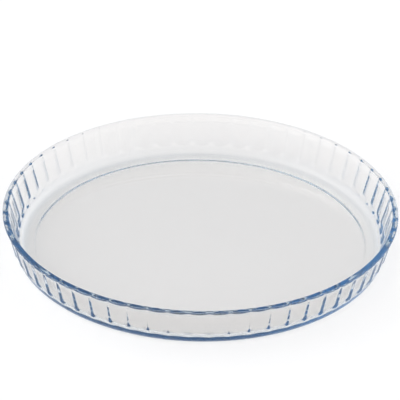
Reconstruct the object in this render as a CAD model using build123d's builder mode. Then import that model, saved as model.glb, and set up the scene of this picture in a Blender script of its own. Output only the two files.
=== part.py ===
from build123d import *
import math
import os

# Fluted round pie dish of clear pressed glass, made as one piece.
# Millimetres, +Z up, origin at the centre of the underside.

# Overall size
rim_diameter = 280.0
dish_height = 30.5

# Smooth outer wall: how far it stands back from the rim's edge, and how much
# narrower it is at the base plane than at the top
rim_overhang = 2.0
wall_flare = 7.5
heel_radius = 7.8

# Glass between the outer wall and the hollows of the flutes, and in the floor
glass_at_rim = 2.8
glass_at_foot = 4.0
floor_thickness = 4.6
inner_heel_radius = 7.0

# Flutes inside the wall: hollows that meet in ridges, deeper near the heel
flute_count = 60
flute_depth_at_rim = 0.9
flute_depth_at_heel = 1.2

# The ridges rise out of the round of the inner heel, from this many degrees
# above its foot, and reach their full depth in steps at the end of the round
flute_start_angle = 36.0
runout_steps = 3

# Rim band
rim_thickness = 2.4
rim_edge_bevel = 0.7
rim_root_drop = 0.7
rim_inner_bevel = 0.7

# Foot ring round a shallow recess under the floor
foot_ring_width = 5.5
foot_recess_depth = 0.5
foot_recess_slope = 1.6

# How far the cavity cutter stands above the rim
cutter_overrun = 3.0

rim_radius = rim_diameter / 2
wall_top_radius = rim_radius - rim_overhang
wall_foot_radius = wall_top_radius - wall_flare
inner_top_radius = wall_top_radius - glass_at_rim
inner_foot_radius = wall_foot_radius - glass_at_foot
half_pitch = math.pi / flute_count
rim_under_z = dish_height - rim_thickness
rim_root_z = rim_under_z - rim_root_drop


def at_angle(radius, angle):
    # The first flute's hollow faces the front, which is -Y
    return (radius * math.sin(angle), -radius * math.cos(angle))


def fluted_section(height, hollow_radius, depth):
    # Level outline of the fluted space: broad arcs that meet in ridges. At no
    # depth it is a circle in as many pieces, so that a loft can run from one
    # to the other.
    with BuildLine() as one_flute:
        ThreePointArc(
            at_angle(hollow_radius - depth, -half_pitch),
            at_angle(hollow_radius, 0),
            at_angle(hollow_radius - depth, half_pitch),
        )
    flutes = [one_flute.line.rotate(Axis.Z, 360 / flute_count * turn) for turn in range(flute_count)]
    return Pos(0, 0, height) * make_face(flutes, mode=Mode.PRIVATE)


def outer_radius_at(height):
    return wall_foot_radius + height * math.tan(outer_lean)


def inner_radius_at(height):
    return inner_foot_radius + (height - floor_thickness) * math.tan(inner_lean)


def flute_depth_at(height):
    share = (height - inner_heel_z) / (dish_height - inner_heel_z)
    return flute_depth_at_heel + (flute_depth_at_rim - flute_depth_at_heel) * share


def heel_section(step):
    # Section on the round of the inner heel, its ridges part grown
    share = step / runout_steps
    angle = math.radians(flute_start_angle + (heel_end_angle - flute_start_angle) * share)
    height = floor_thickness + inner_heel_radius * (1 - math.cos(angle))
    radius = inner_heel_middle + inner_heel_radius * math.sin(angle)
    return fluted_section(height, radius, flute_depth_at_heel * share)


# How far the walls lean out from upright
outer_lean = math.atan2(wall_top_radius - wall_foot_radius, rim_under_z)
inner_lean = math.atan2(inner_top_radius - inner_foot_radius, dish_height - floor_thickness)

# Where the rounds of the heels end at the wall
outer_heel_z = heel_radius * (1 - math.sin(outer_lean))
inner_heel_z = floor_thickness + inner_heel_radius * (1 - math.sin(inner_lean))
heel_end_angle = 90 - math.degrees(inner_lean)

# Where the rounds of the heels leave the base plane and the floor
outer_heel_middle = outer_radius_at(outer_heel_z) - heel_radius * math.cos(outer_lean)
inner_heel_middle = inner_radius_at(inner_heel_z) - inner_heel_radius * math.cos(inner_lean)
foot_inner_radius = outer_heel_middle - foot_ring_width

# A cone of 45 degrees through the place where the rim's inner bevel starts
cavity_top_z = dish_height + cutter_overrun
bevel_start_z = dish_height - rim_inner_bevel
bevel_low_z = bevel_start_z - cutter_overrun
bevel_low_radius = inner_radius_at(bevel_start_z) - cutter_overrun
bevel_top_radius = bevel_low_radius + cavity_top_z - bevel_low_z

# Level sections of the space inside and of its rim bevel
inner_sections = [heel_section(step) for step in range(runout_steps + 1)]
inner_sections.append(
    fluted_section(cavity_top_z, inner_radius_at(cavity_top_z), flute_depth_at(cavity_top_z))
)
bevel_sections = [
    fluted_section(bevel_low_z, bevel_low_radius, flute_depth_at_rim),
    fluted_section(cavity_top_z, bevel_top_radius, flute_depth_at_rim),
]

# The space inside the dish, which is cut out of the glass
with BuildPart() as cavity:
    loft(inner_sections, ruled=True)

    # Lower part of the inner heel, from the floor up to where the ridges start
    with BuildSketch(Plane.XZ):
        with BuildLine():
            inner_heel = JernArc(
                start=(inner_heel_middle, floor_thickness),
                tangent=(1, 0),
                radius=inner_heel_radius,
                arc_size=flute_start_angle,
            )
            Polyline(
                inner_heel @ 1,
                (0, (inner_heel @ 1).Y),
                (0, floor_thickness),
                inner_heel @ 0,
            )
        make_face()
    revolve(axis=Axis.Z)

    # Bevel of the rim's inner edge, which follows the flutes
    loft(bevel_sections, ruled=True)

# The glass
with BuildPart() as glass_dish:
    # Foot ring and recess, heel, wall, and the rim band with its sloped root
    with BuildSketch(Plane.XZ):
        with BuildLine():
            outer_heel = JernArc(
                start=(outer_heel_middle, 0),
                tangent=(1, 0),
                radius=heel_radius,
                arc_size=90 - math.degrees(outer_lean),
            )
            Polyline(
                outer_heel @ 1,
                (outer_radius_at(rim_root_z), rim_root_z),
                (rim_radius, rim_under_z),
                (rim_radius, dish_height),
                (0, dish_height),
                (0, foot_recess_depth),
                (foot_inner_radius - foot_recess_slope, foot_recess_depth),
                (foot_inner_radius, 0),
                outer_heel @ 0,
            )
        make_face()
        chamfer(vertices().group_by(Axis.X)[-1], rim_edge_bevel)
    revolve(axis=Axis.Z)

    add(cavity.part, mode=Mode.SUBTRACT)

glass_dish.part.label = "glass_dish"

os.makedirs("parts", exist_ok=True)
export_step(glass_dish.part, "parts/glass_dish.step")
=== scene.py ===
import math

import bpy
import numpy as np
from mathutils import Matrix, Vector


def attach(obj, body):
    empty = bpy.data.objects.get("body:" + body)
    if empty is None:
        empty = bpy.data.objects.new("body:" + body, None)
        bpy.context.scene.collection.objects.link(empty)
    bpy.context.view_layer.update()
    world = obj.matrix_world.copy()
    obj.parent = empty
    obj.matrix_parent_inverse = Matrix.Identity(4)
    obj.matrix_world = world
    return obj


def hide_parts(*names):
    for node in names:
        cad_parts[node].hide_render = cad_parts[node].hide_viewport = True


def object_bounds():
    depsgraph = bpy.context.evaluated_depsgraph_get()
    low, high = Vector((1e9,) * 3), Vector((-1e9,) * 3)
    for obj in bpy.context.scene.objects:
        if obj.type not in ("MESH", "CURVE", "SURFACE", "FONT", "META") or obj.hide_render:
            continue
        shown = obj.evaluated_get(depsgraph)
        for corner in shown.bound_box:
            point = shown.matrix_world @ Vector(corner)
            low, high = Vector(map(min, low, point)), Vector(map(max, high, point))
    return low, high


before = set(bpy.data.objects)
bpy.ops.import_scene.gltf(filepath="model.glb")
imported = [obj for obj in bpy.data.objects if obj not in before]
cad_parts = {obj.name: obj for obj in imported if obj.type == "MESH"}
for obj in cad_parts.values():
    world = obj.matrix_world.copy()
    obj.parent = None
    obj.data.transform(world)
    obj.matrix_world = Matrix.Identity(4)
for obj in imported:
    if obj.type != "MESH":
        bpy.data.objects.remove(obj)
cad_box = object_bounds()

# Fluted round pie dish of clear pressed glass, front at -Y. Sizes in metres. The
# rim's radius and the height come from the CAD model's box.
RIM_RADIUS = cad_box[1].x
DISH_HEIGHT = cad_box[1].z

# Rim band, and the wall under it, which leans outward and thins upward
RIM_OVERHANG = 0.0020
RIM_THICKNESS = 0.0024
WALL_FLARE = 0.0075
GLASS_AT_RIM = 0.0024
GLASS_AT_FOOT = 0.0032

# Floor, rounds of the heel, and foot ring round a shallow recess
FLOOR_THICKNESS = 0.0046
OUTER_HEEL = 0.0078
INNER_HEEL = 0.0070
FOOT_RING = 0.0055
RECESS_DEPTH = 0.0006
RECESS_SLOPE = 0.0030

# The wall is waved: ridges outside, and grooves behind them inside. A ridge's
# height and a groove's depth are given at the dish's floor and at its rim.
FLUTE_COUNT = 60
RIDGE_HEIGHTS = (0.0010, 0.0009)
GROOVE_DEPTHS = (0.0010, 0.0005)
RIDGE_ROUND_SHARE = 0.08

# Heights between which ridges and grooves grow, and between which grooves fade.
# Ridges fade where the rim's underside passes these distances from the wall's top.
RIDGE_START = (0.0066, 0.0102)
GROOVE_START = (0.0069, 0.0106)
GROOVE_END = (0.0265, 0.0290)
RIDGE_END = (-0.0004, 0.0010)

# Fire-polished rounds of the rim, and the slope of its underside in degrees
RIM_EDGE_ROUND = 0.00115
RIM_INNER_ROUND = 0.0008
RIM_UNDER_SLOPE = 35.0

# Columns of the mesh across half a flute, from its middle toward its ridge
ACROSS_SHARES = (0.0, 0.28, 0.52, 0.71, 0.83, 0.90, 0.945, 0.98)

# Rings of the mesh on its flat faces: on the recess and on the floor as shares of
# their radius, and on the foot ring at a margin from both of its edges
RECESS_SHARES = (0.25, 0.5, 0.75, 0.95)
FLOOR_SHARES = (0.99, 0.95, 0.75, 0.5, 0.25)
FOOT_RING_MARGIN = 0.0015
RECESS_SLOPE_STEPS = 8

# Photo's camera: aim point, distance, elevation, roll, focal length in pixels
AIM = Vector((-0.0037 * RIM_RADIUS, 0.0, 0.268 * RIM_RADIUS))
DISTANCE = 18.0 * RIM_RADIUS
ELEVATION = math.radians(30.38)
ROLL = math.radians(0.99)
FOCAL_PX = 3565.0
IMAGE_PX = 400.0
SENSOR_MM = 36.0
FARTHEST_SEEN = 100.0

# Glass: its surface, and the blue of its depth
GLASS_COLOUR = (0.945, 0.92, 0.90, 1)
GLASS_IOR = 1.47
TINT_COLOUR = (0.0, 0.38, 0.64, 1)
TINT_DENSITY = 11.0

# Unevenness that pressing leaves: slow swells, and finer patches of haze
SWELL_SCALE = 38.0
SWELL_STRENGTH = 0.08
SWELL_HEIGHT = 0.0004
HAZE_SCALE = 90.0
HAZE_NOISE = (0.35, 0.75)
HAZE_ROUGHNESS = (0.0, 0.012)

# Floor: a board with a mottle between two brightnesses, a gap below the foot ring
FLOOR_LEVELS = (0.945, 0.955)
MOTTLE_SCALE = 9.0
FLOOR_HALF_WIDTH = 6.0
FLOOR_GAP = 0.0001

# The studio: each side's colours, one for each height in degrees above the horizon
HEIGHTS = (0, 12, 27, 48, 90)
OVERHEAD = (0.90, 0.87, 0.84)
STUDIO = {
    "left": ((0.90, 0.95, 1.00), (1.00, 1.10, 1.20), (1.75, 1.80, 1.85), (2.40, 2.40, 2.40), OVERHEAD),
    "right": ((0.50, 0.52, 0.55), (1.20, 1.22, 1.27), (1.20, 1.25, 1.32), (0.60, 0.60, 0.62), OVERHEAD),
    "far": ((0.30, 0.30, 0.32), (0.75, 0.82, 0.92), (0.46, 0.51, 0.56), (0.38, 0.40, 0.46), OVERHEAD),
    "near": ((0.02, 0.02, 0.03), (0.10, 0.10, 0.12), (1.60, 1.55, 1.50), (1.35, 1.30, 1.25), OVERHEAD),
}
SIDES = {"left": ("X", -1.0), "right": ("X", 1.0), "far": ("Y", 1.0), "near": ("Y", -1.0)}

# Keeps the share of a side defined where a direction points straight up
LEAST_LEVEL = 1e-6

# Light runs a long way inside the rim and the heel before it leaves
LIGHT_BOUNCES = 64

# Derived places
WALL_TOP = RIM_RADIUS - RIM_OVERHANG
WALL_FOOT = WALL_TOP - WALL_FLARE
INNER_TOP = WALL_TOP - GLASS_AT_RIM
INNER_FOOT = WALL_FOOT - GLASS_AT_FOOT
RIM_UNDER = DISH_HEIGHT - RIM_THICKNESS
OUTER_LEAN = math.atan2(WALL_TOP - WALL_FOOT, RIM_UNDER)
INNER_LEAN = math.atan2(INNER_TOP - INNER_FOOT, DISH_HEIGHT - FLOOR_THICKNESS)


def outer_radius(z):
    return WALL_FOOT + z * math.tan(OUTER_LEAN)


def inner_radius(z):
    return INNER_FOOT + (z - FLOOR_THICKNESS) * math.tan(INNER_LEAN)


def smoothstep(x, low, high):
    t = min(max((x - low) / (high - low), 0.0), 1.0)
    return t * t * (3 - 2 * t)


def arc(middle, radius, start, end, steps):
    """Points of an arc in the section plane, angles in degrees."""
    angles = [math.radians(start + (end - start) * i / steps) for i in range(steps + 1)]
    return [(middle[0] + radius * math.cos(a), middle[1] + radius * math.sin(a)) for a in angles]


def between(a, b, steps):
    """Points strictly between a and b."""
    shares = [i / steps for i in range(1, steps)]
    return [(a[0] + (b[0] - a[0]) * t, a[1] + (b[1] - a[1]) * t) for t in shares]


def along_wall(radius_at, start, end, steps):
    """Points on a wall's straight line from one height to another, without the last."""
    heights = [start + (end - start) * i / steps for i in range(steps)]
    return [(radius_at(z), z) for z in heights]


def heel_middle(radius_at, lean, heel, level):
    """Radius of the middle of the round that joins a level face to a leaning wall."""
    heel_top = level + heel * (1 - math.sin(lean))
    return radius_at(heel_top) - heel * math.cos(lean)


def underside(middle):
    """From near the axis out over the recess and its soft step to the foot ring."""
    foot_inner = middle - FOOT_RING
    recess = foot_inner - RECESS_SLOPE
    points = [(recess * share, RECESS_DEPTH) for share in RECESS_SHARES]
    for i in range(RECESS_SLOPE_STEPS + 1):
        share = i / RECESS_SLOPE_STEPS
        points.append((recess + RECESS_SLOPE * share, RECESS_DEPTH * (1 - smoothstep(share, 0, 1))))
    return points + [(foot_inner + FOOT_RING_MARGIN, 0.0), (middle - FOOT_RING_MARGIN, 0.0)]


def outside(middle):
    """Heel, wall, the rim's sloped underside and its full round edge."""
    heel = arc((middle, OUTER_HEEL), OUTER_HEEL, -90, -math.degrees(OUTER_LEAN), steps=13)
    low_middle = (RIM_RADIUS - RIM_EDGE_ROUND, RIM_UNDER + RIM_EDGE_ROUND)
    top_middle = (RIM_RADIUS - RIM_EDGE_ROUND, DISH_HEIGHT - RIM_EDGE_ROUND)
    edge = arc(low_middle, RIM_EDGE_ROUND, RIM_UNDER_SLOPE - 90, 0, steps=5)
    edge += arc(top_middle, RIM_EDGE_ROUND, 0, 90, steps=5)
    drop = (edge[0][0] - WALL_TOP) * math.tan(math.radians(RIM_UNDER_SLOPE))
    root_z = edge[0][1] - drop
    root = (outer_radius(root_z), root_z)
    wall = along_wall(outer_radius, *RIDGE_START, steps=7)
    wall += along_wall(outer_radius, RIDGE_START[1], root_z, steps=5)
    return heel + wall + [root] + between(root, edge[0], steps=3) + edge


def inside(middle):
    """Rim's top, its inner round, wall, heel and floor."""
    top_start = (RIM_RADIUS - RIM_EDGE_ROUND, DISH_HEIGHT)
    top_end = (INNER_TOP + RIM_INNER_ROUND, DISH_HEIGHT)
    round_middle = (top_end[0], DISH_HEIGHT - RIM_INNER_ROUND)
    points = between(top_start, top_end, steps=3)
    points += arc(round_middle, RIM_INNER_ROUND, 90, 180, steps=6)
    points += along_wall(inner_radius, GROOVE_END[1], GROOVE_END[0], steps=4)
    heel_centre = (middle, FLOOR_THICKNESS + INNER_HEEL)
    heel = arc(heel_centre, INNER_HEEL, -math.degrees(INNER_LEAN), -90, steps=17)
    points += along_wall(inner_radius, GROOVE_END[0], heel[0][1], steps=5) + heel
    return points + [(middle * share, FLOOR_THICKNESS) for share in FLOOR_SHARES]


def relief(depths, z):
    """Depth of the waves at a height, from the dish's floor up to its rim."""
    return depths[0] + (depths[1] - depths[0]) * smoothstep(z, FLOOR_THICKNESS, DISH_HEIGHT)


def rings():
    """The mesh's rings: radius, height, and how far out the waves reach there."""
    outer_middle = heel_middle(outer_radius, OUTER_LEAN, OUTER_HEEL, 0.0)
    inner_middle = heel_middle(inner_radius, INNER_LEAN, INNER_HEEL, FLOOR_THICKNESS)
    places = [(r, z, 0.0) for r, z in underside(outer_middle)]
    for r, z in outside(outer_middle):
        fade = smoothstep(z, *RIDGE_START) * (1 - smoothstep(r - WALL_TOP, *RIDGE_END))
        places.append((r, z, relief(RIDGE_HEIGHTS, z) * fade))
    for r, z in inside(inner_middle):
        fade = smoothstep(z, *GROOVE_START) * (1 - smoothstep(z, *GROOVE_END))
        places.append((r, z, relief(GROOVE_DEPTHS, z) * fade))
    return places


def flute_shape(u):
    """0 in the middle of a flute and 1 on its ridges, at u = -1 and 1.

    The broad hollow meets the short round of the ridge with the same slope.
    """
    u = abs(u)
    flank = 1 - RIDGE_ROUND_SHARE
    return u * u / flank if u < flank else 1 - (1 - u) ** 2 / RIDGE_ROUND_SHARE


def glass_mesh():
    """Rings from the underside's middle out, over the rim and in to the floor's middle."""
    across = [-1.0] + [-u for u in reversed(ACROSS_SHARES[1:])] + list(ACROSS_SHARES)
    pitch = 2 * math.pi / FLUTE_COUNT
    angle = np.array([(k + u / 2) * pitch for k in range(FLUTE_COUNT) for u in across])
    shape = np.array([flute_shape(u) for u in across] * FLUTE_COUNT)
    places = rings()
    count = len(angle)
    verts = [(0.0, 0.0, places[0][1])]
    for r, z, depth in places:
        radius = r + depth * shape
        verts += zip(radius * np.sin(angle), -radius * np.cos(angle), np.full(count, z))
    verts.append((0.0, 0.0, places[-1][1]))
    faces = [(0, 1 + (i + 1) % count, 1 + i) for i in range(count)]
    for j in range(len(places) - 1):
        ring = 1 + j * count
        beyond = ring + count
        for i in range(count):
            k = (i + 1) % count
            faces.append((ring + i, ring + k, beyond + k, beyond + i))
    last = 1 + (len(places) - 1) * count
    faces += [(len(verts) - 1, last + i, last + (i + 1) % count) for i in range(count)]
    mesh = bpy.data.meshes.new("pressed_glass_dish")
    mesh.from_pydata([tuple(map(float, v)) for v in verts], [], faces)
    mesh.validate()
    mesh.polygons.foreach_set("use_smooth", [True] * len(mesh.polygons))
    return mesh


def add_node(tree, kind, inputs=None, **settings):
    """A node with its settings, and with its inputs given as values or linked sockets."""
    node = tree.nodes.new(kind)
    for name, value in settings.items():
        setattr(node, name, value)
    for key, value in (inputs or {}).items():
        if isinstance(value, bpy.types.NodeSocket):
            tree.links.new(value, node.inputs[key])
        else:
            node.inputs[key].default_value = value
    return node


def empty_tree(block):
    block.use_nodes = True
    block.node_tree.nodes.clear()
    return block.node_tree


def glass_material():
    """Clear glass, blue in its thickness, with the faint unevenness that pressing leaves."""
    material = bpy.data.materials.new("clear_pressed_glass")
    tree = empty_tree(material)
    place = add_node(tree, "ShaderNodeTexCoord").outputs["Object"]
    swell = add_node(tree, "ShaderNodeTexNoise", {"Vector": place, "Scale": SWELL_SCALE, "Detail": 1.0})
    haze = add_node(tree, "ShaderNodeTexNoise", {"Vector": place, "Scale": HAZE_SCALE, "Detail": 3.0})
    uneven = add_node(
        tree, "ShaderNodeBump",
        {"Height": swell.outputs["Fac"], "Strength": SWELL_STRENGTH, "Distance": SWELL_HEIGHT},
    )
    gloss = add_node(
        tree, "ShaderNodeMapRange",
        {
            "Value": haze.outputs["Fac"], "From Min": HAZE_NOISE[0], "From Max": HAZE_NOISE[1],
            "To Min": HAZE_ROUGHNESS[0], "To Max": HAZE_ROUGHNESS[1],
        },
    )
    glass = add_node(
        tree, "ShaderNodeBsdfPrincipled",
        {
            "Base Color": GLASS_COLOUR, "IOR": GLASS_IOR, "Transmission Weight": 1.0,
            "Roughness": gloss.outputs["Result"], "Normal": uneven.outputs["Normal"],
        },
    )
    tint = add_node(tree, "ShaderNodeVolumeAbsorption", {"Color": TINT_COLOUR, "Density": TINT_DENSITY})
    add_node(
        tree, "ShaderNodeOutputMaterial",
        {"Surface": glass.outputs["BSDF"], "Volume": tint.outputs["Volume"]},
    )
    return material


def floor_material():
    """Plain pale board with a faint mottle."""
    material = bpy.data.materials.new("pale_floor")
    tree = empty_tree(material)
    place = add_node(tree, "ShaderNodeTexCoord").outputs["Object"]
    mottle = add_node(tree, "ShaderNodeTexNoise", {"Vector": place, "Scale": MOTTLE_SCALE, "Detail": 2.0})
    shade = add_node(tree, "ShaderNodeValToRGB", {"Fac": mottle.outputs["Fac"]})
    for stop, level in zip(shade.color_ramp.elements, FLOOR_LEVELS):
        stop.color = (level, level, level, 1)
    board = add_node(
        tree, "ShaderNodeBsdfPrincipled",
        {"Base Color": shade.outputs["Color"], "Roughness": 1.0, "Specular IOR Level": 0.0},
    )
    add_node(tree, "ShaderNodeOutputMaterial", {"Surface": board.outputs["BSDF"]})
    return material


def add_floor():
    half = FLOOR_HALF_WIDTH
    corners = [(-half, -half, 0), (half, -half, 0), (half, half, 0), (-half, half, 0)]
    mesh = bpy.data.meshes.new("floor")
    mesh.from_pydata(corners, [], [(0, 1, 2, 3)])
    mesh.materials.append(floor_material())
    floor = bpy.data.objects.new("floor", mesh)
    floor.location.z = -FLOOR_GAP
    bpy.context.collection.objects.link(floor)


def calculate(tree, operation, a, b):
    return add_node(tree, "ShaderNodeMath", {0: a, 1: b}, operation=operation).outputs[0]


def side_colour(tree, side, height):
    """One side's colours, from its foot at the horizon up to the overhead."""
    ramp = add_node(tree, "ShaderNodeValToRGB", {"Fac": height}, name=side)
    stops = ramp.color_ramp.elements
    while len(stops) < len(HEIGHTS):
        stops.new(0.5)
    for stop, degrees in zip(stops, HEIGHTS):
        stop.position = math.sin(math.radians(degrees))
    for stop, colour in zip(stops, STUDIO[side]):
        stop.color = (*colour, 1)
    return ramp.outputs["Color"]


def add_world():
    """Soft studio light: four sides that blend by compass direction, each shaded by height."""
    world = bpy.data.worlds.new("studio")
    bpy.context.scene.world = world
    tree = empty_tree(world)
    direction = add_node(tree, "ShaderNodeTexCoord").outputs["Generated"]
    along = add_node(tree, "ShaderNodeSeparateXYZ", {"Vector": direction}).outputs
    squares = [calculate(tree, "POWER", along[axis], 2.0) for axis in "XY"]
    level = calculate(tree, "MAXIMUM", calculate(tree, "ADD", *squares), LEAST_LEVEL)
    light = None
    for side, (axis, sign) in SIDES.items():
        toward = calculate(tree, "MAXIMUM", calculate(tree, "MULTIPLY", along[axis], sign), 0.0)
        share = calculate(tree, "DIVIDE", calculate(tree, "POWER", toward, 2.0), level)
        colour = side_colour(tree, side, along["Z"])
        scaled = add_node(tree, "ShaderNodeVectorMath", {0: colour, "Scale": share}, operation="SCALE")
        part = scaled.outputs[0]
        light = add_node(tree, "ShaderNodeVectorMath", {0: light, 1: part}).outputs[0] if light else part
    back = add_node(tree, "ShaderNodeBackground", {"Color": light, "Strength": 1.0})
    add_node(tree, "ShaderNodeOutputWorld", {"Surface": back.outputs["Background"]})


def add_camera():
    data = bpy.data.cameras.new("camera")
    data.sensor_width = SENSOR_MM
    data.lens = FOCAL_PX / IMAGE_PX * SENSOR_MM
    data.clip_end = FARTHEST_SEEN
    camera = bpy.data.objects.new("camera", data)
    bpy.context.collection.objects.link(camera)
    place = AIM + DISTANCE * Vector((0, -math.cos(ELEVATION), math.sin(ELEVATION)))
    forward = (AIM - place).normalized()
    right = Vector((1, 0, 0))
    up = right.cross(forward)
    rolled_right = math.cos(ROLL) * right + math.sin(ROLL) * up
    rolled_up = math.cos(ROLL) * up - math.sin(ROLL) * right
    turn = Matrix((rolled_right, rolled_up, -forward)).transposed().to_4x4()
    camera.matrix_world = Matrix.Translation(place) @ turn
    bpy.context.scene.camera = camera


dish = bpy.data.objects.new("pressed_glass_dish", glass_mesh())
dish.data.materials.append(glass_material())
bpy.context.collection.objects.link(dish)
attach(dish, "root")
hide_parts("glass_dish")

add_floor()
add_world()
add_camera()

scene = bpy.context.scene
scene.view_settings.view_transform = "Standard"
scene.cycles.max_bounces = LIGHT_BOUNCES
scene.cycles.glossy_bounces = LIGHT_BOUNCES
scene.cycles.transmission_bounces = LIGHT_BOUNCES
scene.cycles.blur_glossy = 0.0
